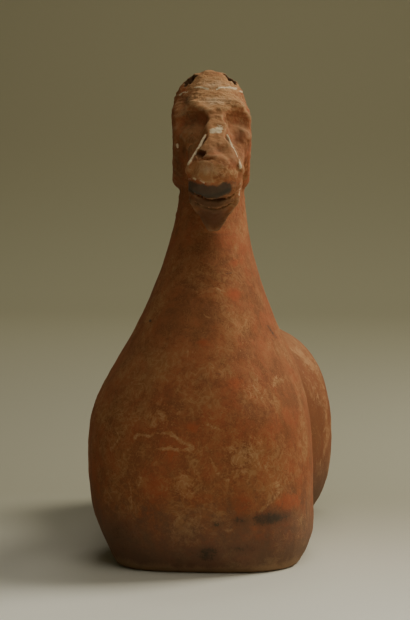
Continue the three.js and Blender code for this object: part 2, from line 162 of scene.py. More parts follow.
# Breast and neck are one upright form, whose section is set by its height as a share of the figure's
breast_half = curve(
    (0, 0.82), (0.02, 0.868), (0.055, 0.932), (0.11, 0.978), (0.19, 1), (0.26, 0.99), (0.31, 0.955),
    (0.355, 0.885), (0.405, 0.785), (0.45, 0.68), (0.5, 0.58), (0.565, 0.47), (0.63, 0.38),
    (0.69, 0.32), (0.76, 0.28), (0.93, 0.25),
)
breast_front = curve(
    (0, -0.45), (0.055, -0.472), (0.13, -0.49), (0.21, -0.498), (0.3, -0.49), (0.37, -0.466),
    (0.46, -0.425), (0.555, -0.378), (0.65, -0.336), (0.74, -0.303), (0.83, -0.276),
)
nape_line = curve(
    (0, -0.02), (0.28, -0.01), (0.41, 0.01), (0.455, 0), (0.49, -0.024), (0.555, -0.058),
    (0.65, -0.085), (0.74, -0.096), (0.83, -0.1), (0.91, -0.106), (0.97, -0.13),
)
breast_power = curve((0, 3.5), (0.06, 2.7), (0.2, 2.15))
sway_at = curve(
    (0, 1.2), (0.05, 1), (0.12, 0.15), (0.2, -0.15), (0.32, -0.15),
    (0.42, 0.2), (0.5, 0.45), (0.62, 0.8), (0.76, 1),
)
column = {"top": 0.94 * height, "round": 0.03 * height}


def neck_and_breast(x, y, z):
    up = z / height
    front, back = breast_front(up) * length, nape_line(up) * length
    half, deep = breast_half(up) * chest_half, (back - front) / 2
    form = loaf((x / half, (y - (front + back) / 2) / deep), breast_power(up), np.minimum(half, deep))
    return both(form, z - column["top"], column["round"])


# The cropped mane stands on the nape as a low ridge
mane = {"half_thickness": 0.009, "proud": 0.009, "from": 0.5, "to": 0.94, "rim": 0.005}


def mane_ridge(x, y, z):
    up = z / height
    nape = nape_line(up) * length
    ends = np.maximum(mane["from"] - up, up - mane["to"]) * height
    inside = nape - 4 * mane["proud"] - y
    form = np.maximum(np.maximum(y - nape - mane["proud"], ends), inside)
    return both(np.abs(x) - mane["half_thickness"], form, mane["rim"])


# The body lies along Y, from behind the breast to the buttocks. Places are shares of its length.
barrel_half = curve((-0.1, 0.86), (0, 0.8), (0.08, 0.81), (0.18, 0.94), (0.28, 1))
back_line = curve((-0.1, 0.455), (0, 0.45), (0.09, 0.43), (0.17, 0.424), (0.28, 0.441), (0.345, 0.447))
barrel_power = curve((0.13, 2.6), (0.25, 2.45))
body_middle = 0.185 * height
belly_depth = 0.21 * height
rump = {"from": 0.26 * length, "run": 0.24 * length}
shoulders = {"from": -0.1 * length, "run": 0.2 * length}


def barrel(x, y, z):
    along = y / length
    half = barrel_half(along) * haunch_half
    top = back_line(along) * height - body_middle
    tall = np.where(z > body_middle, top, belly_depth)
    past_rump = (y - rump["from"]) / rump["run"]
    past_shoulders = (shoulders["from"] - y) / shoulders["run"]
    past = np.maximum(np.maximum(0, past_rump), past_shoulders)
    return loaf((x / half, (z - body_middle) / tall, past), barrel_power(z / height), np.minimum(half, top))


thigh_middle = (0.5 * haunch_half, 0.305 * length, 0.17 * height)
thigh_size = (0.5 * haunch_half, 0.155 * length, 0.21 * height)


def thigh(x, y, z):
    return egg(x - thigh_middle[0], y - thigh_middle[1], z - thigh_middle[2], *thigh_size)


def cleft(x, y, z):
    """The cleft of the buttocks runs down from the tail."""
    behind, radius = 0.53 * length, 0.035 * length
    top = tail_socket["above"] - 2 * tail_socket["radius"]
    return rod((x, y, z), (0, behind, 0), (0, behind, top), (radius, radius))


# The underside rises between the fore and hind parts. Its middle and half length are shares of the length.
arch_middle, arch_half = 0.02, 0.17


def belly_arch(y, z):
    share = (y / length - arch_middle) / arch_half
    return z - belly_rise * (1 - share**4)


# Head places are across, along the face and down from the face line, in shares of its half width and length
skull_half = curve(
    (-0.06, 0.8), (0.05, 0.96), (0.2, 0.96), (0.34, 0.94),
    (0.49, 0.84), (0.63, 0.7), (0.78, 0.64), (0.93, 0.61),
)
skull_top = curve((-0.06, 0.03), (0.03, -0.018), (0.14, -0.012), (0.5, 0.02), (0.75, 0.03), (1, 0.045))
skull_power = curve((0, 2), (0.15, 2.2), (0.3, 2.7))
skull_base = curve((0, 0.42), (0.2, 0.47), (0.34, 0.47), (0.5, 0.38), (0.63, 0.3), (0.8, 0.262), (1, 0.245))
skull_ends = {"crown": 0.05, "crown_run": 0.12, "nose": 0.84, "nose_run": 0.16}
face_drift = curve((0.2, 0), (0.4, 0.1), (0.65, 0.1), (0.9, 0.05))
head_pivot = crown_y - 0.14 * head_length

# Rods of the head have two ends and two radii, and its eggs a middle and a size
crest = ((0, 0.04, 0.05), (0, -0.05, 0.24), (0.042, 0.05))
brows = (
    ((0.2, 0.422, 0.044), (0.53, 0.36, 0.038), (0.028, 0.033)),
    ((0.53, 0.36, 0.038), (0.77, 0.37, 0.095), (0.033, 0.032)),
)
hollows = (
    (((0.55, 0.5, 0.03), (0.84, 0.5, 0.04), (0.07, 0.1)), 0.004),
    (((0.84, 0.5, 0.035), (0.84, 0.68, 0.06), (0.105, 0.112)), 0.006),
    (((0.84, 0.68, 0.06), (0.96, 0.86, 0.11), (0.112, 0.07)), 0.007),
)
eye = ((0.58, 0.48, 0.15), (0.3, 0.06, 0.05))
soft_flare = ((0.2, 0.58, 0.07), (0.62, 0.88, 0.13), (0.012, 0.03))
upper_lip = ((0, 0.905, 0.175), (0.67, 0.105, 0.095))
lower_lip = ((0, 0.95, 0.3), (0.48, 0.89, 0.295), (0.036, 0.034))
jowl = {"at": 0.3 * head_length, "radius": 0.228 * head_length, "rim": 0.045 * head_length}
jaw = {
    "top": 0.27, "tall": 0.23, "half": 0.68, "narrowing": 0.56, "front": 0.985, "drawn_back": 0.085,
    "round": 0.14, "base": 0.5, "from": 0.19, "back": 0.3, "power": 2.3,
}

# The finer face: the wing of each nostril, the edges of the chin, the nostrils and the lines of the mouth
wing_start, wing_radii = (0.29, 0.665, 0.044), (0.007, 0.007)
wing_ends = ((-1, (0.67, 0.878, 0.096)), (1, (0.63, 0.905, 0.1)))
chin_edge = ((0.58, 0.93, 0.29), (0.1, 0.9, 0.46), (0.008, 0.014))
left_nostril = ((-0.45, 0.81, 0.068), (-0.34, 0.854, 0.062), (0.016, 0.027))
right_nostril = ((0.25, 0.84, 0.03), (0.22, 0.05, 0.022))
nostril_crease = ((-0.42, 0.895, 0.056), (-0.05, 0.915, 0.05), (0.008, 0.001))
mouth_lines = (
    {"down": 0.25, "rise": 0.07, "half_gap": 0.0016, "deep": 0.006, "half": 0.6 * head_half},
    {"down": 0.304, "rise": 0.08, "half_gap": 0.0009, "deep": 0.003, "half": 0.5 * head_half},
)


def head_share(across, along, down):
    return across * head_half, along * head_length, down * head_length


def head_rod(places, start, end, radii):
    return rod(places, head_share(*start), head_share(*end), [radius * head_length for radius in radii])


def head_egg(places, middle, size):
    offsets = [at - centre for at, centre in zip(places, head_share(*middle))]
    return egg(*offsets, *head_share(*size))


def skull(x, u, v):
    along = u / head_length
    half = skull_half(along) * head_half
    top, base = skull_top(along) * head_length, skull_base(along) * head_length
    tall = (base - top) / 2
    past_nose = (along - skull_ends["nose"]) / skull_ends["nose_run"]
    past_crown = (skull_ends["crown"] - along) / skull_ends["crown_run"]
    past = np.maximum(np.maximum(0, past_nose), past_crown)
    ring = np.hypot(x / half, past)
    return loaf((ring, (v - (top + base) / 2) / tall), skull_power(along), np.minimum(half, tall))


def cheeks(x, u, v):
    """The flat cheeks are one thick coin that spans the head."""
    rim = jowl["rim"]
    out = np.hypot(u - jowl["at"], v - jowl["at"]) - jowl["radius"] + rim
    side = x - head_half + rim
    return np.hypot(np.maximum(out, 0), np.maximum(side, 0)) + np.minimum(np.maximum(out, side), 0) - rim


def lower_jaw(x, u, v):
    """The lower jaw narrows and draws back downwards to the chin."""
    along, deep = u / head_length, v / head_length
    down = np.clip((deep - jaw["top"]) / jaw["tall"], 0, 1)
    half = (jaw["half"] - jaw["narrowing"] * down) * head_half
    past = np.maximum(0, (along - jaw["front"] + jaw["drawn_back"] * down) / jaw["round"] + 1)
    form = loaf((x / half, past), jaw["power"], half)
    form = both(form, (deep - jaw["base"]) * head_length, flow["jaw_rim"])
    hidden = np.maximum(jaw["from"] - deep, jaw["back"] - along) * head_length
    return both(form, hidden, flow["jaw"])


def into_head(x, y, z):
    """Places in the head's own frame: to its left or right, along the face and down from it."""
    cosine, sine = math.cos(head_turn), math.sin(head_turn)
    across = x * cosine + (y - head_pivot) * sine
    ahead = head_pivot + (y - head_pivot) * cosine - x * sine - crown_y
    above = z - height
    u = -ahead * math.cos(face_slope) - above * math.sin(face_slope)
    v = ahead * math.sin(face_slope) - above * math.cos(face_slope)
    return across, u, v


def head_place(across, along, down):
    """A place given in the head's shares, in the horse's own frame."""
    x, u, v = head_share(across, along, down)
    ahead = crown_y - u * math.cos(face_slope) + v * math.sin(face_slope) - head_pivot
    return (
        head_lean + x * math.cos(head_turn) - ahead * math.sin(head_turn),
        head_pivot + x * math.sin(head_turn) + ahead * math.cos(head_turn),
        height - u * math.sin(face_slope) - v * math.cos(face_slope),
    )


def off_middle(turned, u):
    """How far a place is from the middle of the face, which leans to one side."""
    return turned - face_drift(u / head_length) * head_half


def head(aside, y, z):
    turned, u, v = into_head(aside, y, z)
    x = off_middle(turned, u)
    p = (np.abs(x), u, v)
    form = join(skull(*p), cheeks(np.abs(turned), u, v), flow["cheek"])
    form = join(form, head_egg(p, *upper_lip), flow["lip"])
    for brow in brows:
        form = join(form, head_rod(p, *brow), flow["brow"])
    for hollow, reach in hollows:
        form = scoop(form, head_rod(p, *hollow), reach)
    form = join(form, head_egg(p, *eye), flow["eye"])
    form = join(form, head_rod(p, *soft_flare), flow["flare"])
    form = join(form, head_rod(p, *crest), flow["crest"])
    form = join(form, lower_jaw(*p), flow["jaw"])
    form = join(form, head_rod(p, *lower_lip), flow["jaw"])
    return finer_face(form, x, u, v)


def wings(x, u, v):
    """The sharp edges of the nostrils' wings."""
    return np.minimum(*(head_rod((side * x, u, v), wing_start, end, wing_radii) for side, end in wing_ends))


def mouth_line(form, x, u, v, line):
    """A thin cut across the front of the muzzle, a little way into the form."""
    share = x / line["half"]
    gap = v / head_length - line["down"] + line["rise"] * (x / head_half) ** 2
    cut = np.maximum(np.abs(gap) * head_length - line["half_gap"] * (1.2 - share**2), 0.8 * head_length - u)
    cut = np.maximum(cut, (np.abs(share) - 1) * line["half"])
    return np.maximum(cut, -form - line["deep"])


def finer_face(form, x, u, v):
    """Sharp wings, nostrils and lips, which the solid leaves soft."""
    form = join(form, wings(x, u, v), flow["wing"])
    form = join(form, head_rod((np.abs(x), u, v), *chin_edge), flow["chin"])
    form = scoop(form, head_rod((x, u, v), *left_nostril), flow["nostril"])
    form = scoop(form, head_egg((x, u, v), *right_nostril), flow["dent"])
    form = scoop(form, head_rod((x, u, v), *nostril_crease), flow["crease"])
    for line in mouth_lines:
        form = scoop(form, mouth_line(form, x, u, v, line), flow["mouth"])
    return form


def socket_bores(x, y, z):
    """How far a place is outside the sockets of the legs, the tail and the ears."""
    gap = np.full(np.shape(x), 1.0)
    for along in leg_socket["along"]:
        out = np.hypot(np.abs(x) - leg_socket["aside"], y - along) - leg_socket["radius"]
        gap = np.minimum(gap, np.maximum(out, z - leg_socket["depth"]))
    out = np.hypot(x, z - tail_socket["above"]) - tail_socket["radius"]
    gap = np.minimum(gap, np.maximum(out, tail_socket["mouth"] - tail_socket["depth"] - y))
    cosine, sine = math.cos(ear_socket["tilt"]), math.sin(ear_socket["tilt"])
    for side, along in zip((-1, 1), ear_socket["along"]):
        mouth = head_place(side * ear_socket["aside"] / head_half, along, ear_socket["down"])
        across, deep = x - mouth[0], z - mouth[2]
        aside = across * cosine - side * deep * sine
        down = -side * across * sine - deep * cosine
        spot = (aside / ear_socket["half_width"], (y - mouth[1]) / ear_socket["half_span"])
        turn = np.arctan2(spot[1], spot[0])
        ragged = 1 + 0.14 * np.sin(5 * turn + side) + 0.08 * np.sin(9 * turn)
        out = (np.hypot(*spot) * ragged - 1) * ear_socket["half_width"]
        gap = np.minimum(gap, np.maximum(out, down - ear_socket["depth"]))
    return gap


def clay(x, y, z):
    """The whole figure above the floor, with its sockets."""
    across = np.abs(x)
    aside = x - head_lean * sway_at(z / height)
    leaned = np.abs(aside)
    form = join(barrel(across, y, z), thigh(across, y, z), flow["thigh"])
    form = scoop(form, cleft(across, y, z), flow["cleft"])
    form = join(form, neck_and_breast(leaned, y, z), flow["breast"])
    form = scoop(form, belly_arch(y, z), flow["arch"])
    form = join(form, mane_ridge(leaned, y, z), flow["mane"])
    upper = z > 0.6 * height
    form[upper] = join(form[upper], head(aside[upper], y[upper], z[upper]), flow["head"])
    form = scoop(form, socket_bores(x, y, z), flow["socket"])
    return both(form, -z, flow["foot"])


grid_half = curve(
    (0.34, 1.1 * chest_half), (0.47, 0.92 * chest_half), (0.56, 0.66 * chest_half),
    (0.7, 1.3 * head_half), (0.8, 1.21 * head_half),
)
nose_front = crown_y - 1.02 * head_length * math.cos(face_slope)
forehead_front = crown_y - 0.47 * head_length
grid_front = curve((0.4, -0.53 * length), (0.5, nose_front), (0.82, nose_front), (1, forehead_front))
grid_back = curve(
    (0.45, 0.53 * length), (0.53, 0.1 * length), (0.62, -0.02 * length),
    (0.86, crown_y + 0.3 * head_length), (1, crown_y + 0.18 * head_length),
)


def grid_places():
    """Places in layers up, rows along and columns across, closer together in the head."""
    levels = [np.array([-0.5 * tops["torso"] / cells["torso"]])]
    for part, top in tops.items():
        levels.append(np.linspace(levels[-1][-1], top, cells[part] + 1)[1:])
    z = np.concatenate(levels)
    up = z / height
    x = (head_lean * sway_at(up))[:, None] + grid_half(up)[:, None] * np.linspace(-1, 1, cells["across"] + 1)
    run = grid_back(up) - grid_front(up)
    y = grid_front(up)[:, None] + run[:, None] * np.linspace(0, 1, cells["along"] + 1)
    shape = (len(z), y.shape[1], x.shape[1])
    spread = (x[:, None, :], y[:, :, None], z[:, None, None])
    return np.stack([np.broadcast_to(part, shape) for part in spread], -1)


def slices_of(axis, part, others=None):
    """The slices that take a part of one axis, and of others where they are given."""
    cut = [slice(None)] * 3
    cut[axis] = part
    for other, stretch in (others or {}).items():
        cut[other] = stretch
    return tuple(cut)


def draw_skin(field):
    """The surface of a form on the grid: a vertex to each cell that it crosses, a quad to each edge."""
    places = grid_places()
    values = field(*(places[..., axis].ravel() for axis in range(3))).reshape(places.shape[:3])
    inside = values < 0
    shape = tuple(count - 1 for count in values.shape)
    total = np.zeros((*shape, 3))
    count = np.zeros(shape)
    crossings = []
    for axis in range(3):
        near, far = slices_of(axis, slice(0, -1)), slices_of(axis, slice(1, None))
        crossed = inside[near] != inside[far]
        crossings.append(crossed)
        share = np.where(crossed, values[near] / np.where(crossed, values[near] - values[far], 1), 0)
        middle = (places[near] + share[..., None] * (places[far] - places[near])) * crossed[..., None]
        first, second = (other for other in range(3) if other != axis)
        for a in (0, 1):
            for b in (0, 1):
                others = {first: slice(a, a + shape[first]), second: slice(b, b + shape[second])}
                total += middle[slices_of(axis, slice(None), others)]
                count += crossed[slices_of(axis, slice(None), others)]
    used = count > 0
    number = np.full(shape, -1)
    number[used] = np.arange(used.sum())
    quads = []
    for axis, crossed in enumerate(crossings):
        first, second = (other for other in range(3) if other != axis)
        inner = slices_of(axis, slice(None), {first: slice(1, -1), second: slice(1, -1)})
        at = np.argwhere(crossed[inner])
        corners = []
        for a, b in ((0, 0), (1, 0), (1, 1), (0, 1)):
            step = np.zeros(3, int)
            step[[first, second]] = a, b
            corners.append(number[tuple((at + step).T)])
        offset = np.zeros(3, int)
        offset[[first, second]] = 1
        outward = inside[tuple((at + offset).T)] == (axis == 1)
        ring = np.stack(corners, 1)
        quads.append(np.where(outward[:, None], ring, ring[:, ::-1]))
    return total[used] / count[used][:, None], np.concatenate(quads)


def slope_of(field, places, value):
    """How a form's distance grows along each axis, at places where its value is known."""
    step = 2e-4
    return np.stack([(field(*(places + step * axis).T) - value) / step for axis in np.eye(3)], 1)


def settle(field, places, turns):
    """Moves places onto the surface of a form."""
    for _ in range(turns):
        value = field(*places.T)
        slope = slope_of(field, places, value)
        steep = np.maximum((slope**2).sum(1), 0.1)
        places = places - np.clip(value / steep, -0.004, 0.004)[:, None] * slope
    return places


def sides_of(rings):
    """The sides of all rings, each given once from either end."""
    starts = np.concatenate(rings)
    ends = np.concatenate([ring[1:] + ring[:1] for ring in rings])
    return np.concatenate([starts, ends]), np.concatenate([ends, starts])


def mean_of_neighbours(values, sides):
    """The mean over each vertex's neighbours."""
    count = np.bincount(sides[0], minlength=len(values))
    sums = [np.bincount(sides[0], column[sides[1]], len(values)) for column in values.T]
    return np.stack(sums, 1) / count[:, None]


def split_quads(places, quads, chosen):
    """Splits each chosen quad in four. The new corners join the rings of the quads beside them."""
    count = len(places)
    ends = np.roll(quads, -1, axis=1)
    names = np.minimum(quads, ends) * count + np.maximum(quads, ends)
    split = np.unique(names[chosen])
    found = np.minimum(np.searchsorted(split, names), len(split) - 1)
    middles = np.where(split[found] == names, count + found, -1)
    halfway = (places[split // count] + places[split % count]) / 2
    centres = places[quads[chosen]].mean(1)
    centre = count + len(split) + np.arange(len(centres))
    corners, mids = quads[chosen], middles[chosen]
    quarters = [np.stack([corners[:, i], mids[:, i], centre, mids[:, i - 1]], 1) for i in range(4)]
    beside = ~chosen & (middles >= 0).any(1)
    pairs = [zip(*ring) for ring in zip(quads[beside].tolist(), middles[beside].tolist())]
    wide = [[n for pair in ring for n in pair if n >= 0] for ring in pairs]
    rings = np.concatenate([quads[~chosen & ~beside], *quarters]).tolist() + wide
    return np.concatenate([places, halfway, centres]), rings


def on_front(places, quads):
    """Which quads the face and the marks on the breast need finer."""
    a, b, c, d = (places[quads[:, i]] for i in range(4))
    normal = np.cross(c - a, d - b)
    faces_front = normal[:, 1] < -0.4 * np.linalg.norm(normal, axis=1)
    middle = (a + b + c + d) / 4
    face = (middle[:, 2] > tops["neck"]) & (middle[:, 1] < crown_y + 0.05 * head_length)
    return face | (faces_front & (middle[:, 2] > 0.01) & (middle[:, 1] < 0))


def even_skin(field):
    """The skin with its vertices evened out and its front made finer: places, and the ring of each face."""
    places, quads = draw_skin(field)
    places = settle(field, places, 2)
    sides = sides_of(quads.tolist())
    for _ in range(2):
        places = places + 0.5 * (mean_of_neighbours(places, sides) - places)
        places = settle(field, places, 1)
    places, rings = split_quads(places, quads, on_front(places, quads))
    return settle(field, places, 2), rings


def noise_at(places, scale, octaves, shift=0.0):
    """Fractal noise of about -1 to 1 at each place."""
    offset = Vector((shift, 2 * shift, 3 * shift))
    return np.array([noise.fractal(Vector(place) * scale + offset, 1.0, 2.1, octaves) for place in places])


def dents(places, middles, radii, depths):
    """How deep each place lies in round worn dents."""
    deep = np.zeros(len(places))
    for middle, radius, depth in zip(middles, radii, depths):
        gap = np.linalg.norm(places - middle, axis=1) / radius
        deep = np.maximum(deep, depth * np.clip(1 - gap**2, 0, 1) ** 2)
    return deep


def weather(places, normals):
    """The hand-smoothed, buried and worn surface: soft lumps, dents, and chips along the base."""
    draw = np.random.default_rng(5)
    above = places[:, 2]
    base_rim = np.flatnonzero((above > 0.001) & (above < 0.012) & (np.abs(normals[:, 2]) < 0.9))
    lumps = 0.0009 * noise_at(places, 16, 3)
    ripples = 0.0004 * noise_at(places, 75, 3, 4.0)
    grit = 0.0008 * noise_at(places, 140, 3, 9.0)
    proud = lumps + ripples + np.where(above > 0.7 * height, grit, 0)
    for chosen, count, radii, depths in (
        (np.arange(len(places)), 90, (0.004, 0.011), (0.0003, 0.0011)),
        (base_rim, 26, (0.006, 0.013), (0.0008, 0.002)),
    ):
        middles = places[draw.choice(chosen, count)]
        proud -= dents(places, middles, draw.uniform(*radii, count), draw.uniform(*depths, count))
    over_brows = np.exp(-(((above - 0.945 * height) / (0.04 * height)) ** 2))
    wrinkles = noise_at(places * (0.22, 1, 2.6), 120, 2, 2.0)
    proud += 0.0012 * over_brows * wrinkles
    proud *= np.clip(above / 0.002, 0, 1)
    return places + proud[:, None] * normals


def stroke(spots, path, width, strength=1.0):
    """A soft line of the given half width along a path."""
    x, y = spots
    gap = np.full(len(x), 1e3)
    for (ax, ay), (bx, by) in zip(path, path[1:]):
        run = (bx - ax) ** 2 + (by - ay) ** 2
        t = np.clip(((x - ax) * (bx - ax) + (y - ay) * (by - ay)) / run, 0, 1)
        gap = np.minimum(gap, np.hypot(x - ax - t * (bx - ax), y - ay - t * (by - ay)))
    return strength * np.clip(1 - gap / (2 * width), 0, 1)


def patch(spots, middle, size, strength=1.0):
    """A soft oval with the given half sizes."""
    gap = np.hypot((spots[0] - middle[0]) / size[0], (spots[1] - middle[1]) / size[1])
    return strength * np.clip(1 - gap / 2, 0, 1)


# Marks on the horse's front, in millimetres to the right and up, before the horse is centred.
# Each stroke has its path, half width and strength, and each patch its middle, half sizes and strength.
marks = {
    "white": {
        "strokes": [
            ([(-9.5, 520.5), (-3.5, 520.5), (6.5, 519)], 0.9, 0.85),
            ([(15.5, 519), (21.5, 521), (28.5, 521.5), (34.5, 519.5)], 1, 0.95),
            ([(-27.5, 512.5), (-23, 515), (-17.5, 516)], 0.9, 0.8),
            ([(38.5, 517), (42, 514.5), (44.5, 510.5)], 0.9, 0.85),
            ([(53, 417), (51.5, 410), (50.5, 404)], 0.9, 0.5),
            ([(-4, 421.5), (3, 423.5), (11, 421), (17, 418.5)], 1.3, 0.5),
            ([(-24, 458), (-23.5, 455)], 1.1, 0.9),
        ],
        "patches": [
            ((19.5, 473.5), (3.5, 2.5), 1), ((25.5, 475.5), (4, 3.5), 1),
        ],
    },
    "pale": {
        "strokes": [
            ([(-21, 496.5), (-14, 499.5), (-7.5, 501), (0.5, 500), (10.5, 494.5)], 1, 0.75),
            ([(29, 505.5), (40, 505), (47.5, 498.5), (52.5, 490.5), (55, 486)], 1.1, 0.75),
            ([(29.5, 491.5), (32, 480.5), (33.5, 471)], 0.9, 0.65),
            ([(-58, 147), (-53.5, 151), (-43, 149.5), (-34.5, 152), (-18, 152.5)], 1.8, 0.9),
            ([(-18, 152.5), (-10.5, 149), (-7, 144.5), (1.5, 142.5), (7, 138.5)], 1.8, 0.9),
            ([(7, 137.5), (-7, 135), (-17.5, 138.5), (-26.5, 136.5), (-37.5, 135)], 1.7, 0.9),
            ([(-4, 187), (-8, 178), (-13, 167.5), (-18, 157)], 1, 0.75),
            ([(-22.5, 186.5), (-16, 186)], 1, 0.7),
            ([(-80, 151), (-76, 146), (-79.5, 139), (-87, 132)], 1.7, 0.8),
            ([(-54.5, 105.5), (-49, 104.5), (-53, 95)], 1.4, 0.7),
            ([(-63.5, 99.5), (-62.5, 83.5), (-60.5, 72.5)], 1.4, 0.7),
            ([(25, 128), (32, 112), (40.5, 104), (56, 108.5), (64, 112.5)], 1.7, 0.8),
            ([(21.5, 163.5), (29.5, 159.5), (38, 156)], 1.8, 0.7),
            ([(93.5, 96.5), (94, 85.5), (88, 79), (76, 68.5)], 2.5, 0.85),
            ([(80, 115.5), (83, 109.5)], 1.6, 0.7),
            ([(51.5, 251.5), (53.5, 243), (50.5, 233), (43, 226.5)], 1, 0.7),
            ([(2, 237.5), (10.5, 235)], 1, 0.7), ([(24, 222), (30, 219.5), (35.5, 215.5)], 1, 0.7),
            ([(-4.5, 249.5), (-2.5, 239.5), (-3, 228)], 1, 0.65),
            ([(24.5, 303.5), (29, 300.5), (33, 299.5)], 1, 0.7),
            ([(11, 277.5), (14.5, 273.5), (19, 272.5)], 1, 0.7), ([(32, 320.5), (40, 320.5)], 0.9, 0.7),
            ([(-11, 397), (-5, 386), (11.5, 377), (16.5, 371)], 0.9, 0.55),
            ([(44.5, 389.5), (35, 377.5), (28.5, 371)], 0.9, 0.5),
            ([(2, 424), (9, 423), (16.5, 420.5), (25, 420), (32, 423.5)], 1.6, 0.75),
        ],
        # Of these, (98, 34) paints light on the low right of the breast, and (20, 433) is partly a painted
        # highlight on the upper lip
        "patches": [
            ((57, 128), (21.5, 22.5), 0.72), ((-2.5, 100), (18, 27), 0.66),
            ((-1.5, 51.5), (29.5, 21.5), 0.68), ((85.5, 13.5), (12.5, 4.5), 0.8),
            ((47, 10), (12.5, 3.5), 0.8), ((98, 34), (16, 16), 0.5),
            ((43, 49.5), (5.5, 2.5), 0.8), ((116, 47), (10, 17), 0.62),
            ((88.5, 202.5), (10, 7), 0.7), ((11, 524), (32, 13), 1.1), ((15, 506), (28, 9), 1.2),
            ((42.5, 430), (11.5, 8), 0.6), ((-29.5, 172), (25, 22.5), 0.55), ((21, 487), (11, 14), 0.55),
            ((44, 482), (10, 24), 0.4), ((68, 194.5), (22.5, 22.5), 0.5), ((20, 433), (19, 10), 1.1),
        ],
    },
    "red": {
        "strokes": [],
        "patches": [
            ((42, 330), (8, 5.5), 0.8), ((43, 296.5), (9, 7), 0.85), ((12, 247.5), (9, 5.5), 0.85),
            ((48.5, 205), (10, 8), 0.8), ((103.5, 74), (11.5, 11.5), 1), ((4.5, 158.5), (9, 9), 0.75),
            ((42.5, 203), (13.5, 7), 0.6), ((64, 189.5), (9, 3.5), 0.65), ((68, 50.5), (7, 3.5), 0.8),
            ((-21, 520.5), (6, 6), 1), ((16.5, 537), (7, 3.5), 0.7),
            ((51.5, 452), (4.5, 27), 0.62), ((-40, 68), (22.5, 11.5), 0.6),
            ((-17.5, 130.5), (16, 11.5), 0.55), ((25, 449), (11, 5), 0.55), ((19, 437), (16, 8), 0.85),
            ((59, 455), (5, 20), 0.6),
        ],
    },
    "smoke_and_shade": {
        "strokes": [
            ([(1, 413.5), (9.5, 410.5), (19.5, 408.5), (30, 409.5), (38, 412.5)], 5.5, 1.4),
            ([(32.5, 318.5), (39, 319)], 0.8, 0.9), ([(75, 260), (84.5, 243.5)], 0.9, 0.75),
            ([(28.5, 215.5), (36.5, 213.5)], 0.8, 0.75),
        ],
        "patches": [
            ((88, 60), (25, 9), 0.9), ((58, 59), (20, 8), 0.7), ((32.5, 56.5), (16, 8), 0.66),
            # The two wide patches low on the left, at (-78, 44) and (-46, 18), are painted shade
            ((20, 23.5), (13.5, 10), 0.8), ((-78, 44), (40, 28), 0.52), ((-46, 18), (46, 14), 0.4),
            ((-49.5, 266.5), (2, 1.5), 1), ((55, 29), (34, 9), 0.6), ((43, 377), (4.5, 7), 0.6),
            ((47.5, 415), (7, 7), 0.55),
        ],
    },
    # Mostly painted shade, with some dark soil: in the hollows under the brows, on the shaded left cheek, in
    # the nostrils, under the lower lip and along the mouth
    "shade_and_dark_soil": {
        "strokes": [
            ([(0, 410), (8, 405.5), (19, 403.5), (32, 405.5), (41, 410)], 2.5, 1),
        ],
        "patches": [
            ((-6.5, 485), (16, 19), 0.45), ((-7.5, 457.5), (10, 18), 0.5), ((-17, 452), (9, 22.5), 0.45),
            ((49, 452.5), (4.5, 16), 0.45), ((19, 397), (26, 8), 0.95), ((20, 381), (21, 15), 0.95),
            ((-24, 436), (9, 34), 0.6), ((25, 455), (13, 10), 0.4),
            ((-17, 507), (7, 5.5), 0.5), ((7, 449), (6, 4), 0.5), ((46, 468), (7, 22), 0.5),
        ],
    },
}


def facing_front(places, normals):
    """Which vertices the marks can lie on. On the right of the muzzle only those before the cheek can."""
    muzzle = (places[:, 2] > tops["neck"]) & (places[:, 2] < 0.85 * height)
    furthest_back = np.where(muzzle, crown_y - 0.45 * head_length, 0.02)
    # On the left the marks reach the side of the cheek, where the dark marks paint shade
    on_left = places[:, 0] < -0.012
    return (normals[:, 1] < -0.05) & (on_left | (places[:, 1] < furthest_back))


def marks_on(places, normals):
    """How much of each finish lies at each vertex: all inside a mark, and none past twice its size."""
    spots = 1000 * places[:, 0], 1000 * places[:, 2]
    in_front = facing_front(places, normals)
    values = {}
    for name, kinds in marks.items():
        drawn = [stroke(spots, *mark) for mark in kinds["strokes"]]
        drawn += [patch(spots, *mark) for mark in kinds["patches"]]
        values[name] = np.max(drawn, axis=0) * in_front
    # Painted shade inside the sockets of the legs, the tail and the ears
    in_socket = np.clip(1.2 - socket_bores(*places.T) / 0.001, 0, 1)
    values["shade_and_dark_soil"] = np.maximum(values["shade_and_dark_soil"], in_socket)
    lean = head_lean * sway_at(places[:, 2] / height)
    turned, u, v = into_head(places[:, 0] - lean, places[:, 1], places[:, 2])
    on_wing = 0.95 * np.clip(1 - wings(off_middle(turned, u), u, v) / 0.0012, 0, 1)
    values["white"] = np.maximum(values["white"], on_wing)
    return values


def hollowness(places, rings, normals):
    """Above zero where the surface is hollow and below it on edges, within 1 either way."""
    sides = sides_of(rings)
    lengths = np.linalg.norm(places[sides[0]] - places[sides[1]], axis=1)
    size = np.bincount(sides[0], lengths) / np.bincount(sides[0])
    smooth = places
    for _ in range(4):
        smooth = mean_of_neighbours(smooth, sides)
    hollow = np.clip(((smooth - places) * normals).sum(1) / (0.35 * size), -1, 1)
    return mean_of_neighbours(mean_of_neighbours(hollow[:, None], sides), sides)[:, 0]


def new_object(name, data):
    thing = bpy.data.objects.new(name, data)
    bpy.context.scene.collection.objects.link(thing)
    return thing


def new_mesh(name, places, rings, material):
    mesh = bpy.data.meshes.new(name)
    mesh.from_pydata(places, [], rings)
    mesh.update()
    mesh.polygons.foreach_set("use_smooth", np.ones(len(mesh.polygons), bool))
    mesh.materials.append(material)
    return new_object(name, mesh)


def add_values(mesh, name, values):
    """Stores a value at each vertex, for the finish to read."""
    layer = mesh.attributes.new(name, "FLOAT", "POINT")
    layer.data.foreach_set("value", values.astype(np.float32))


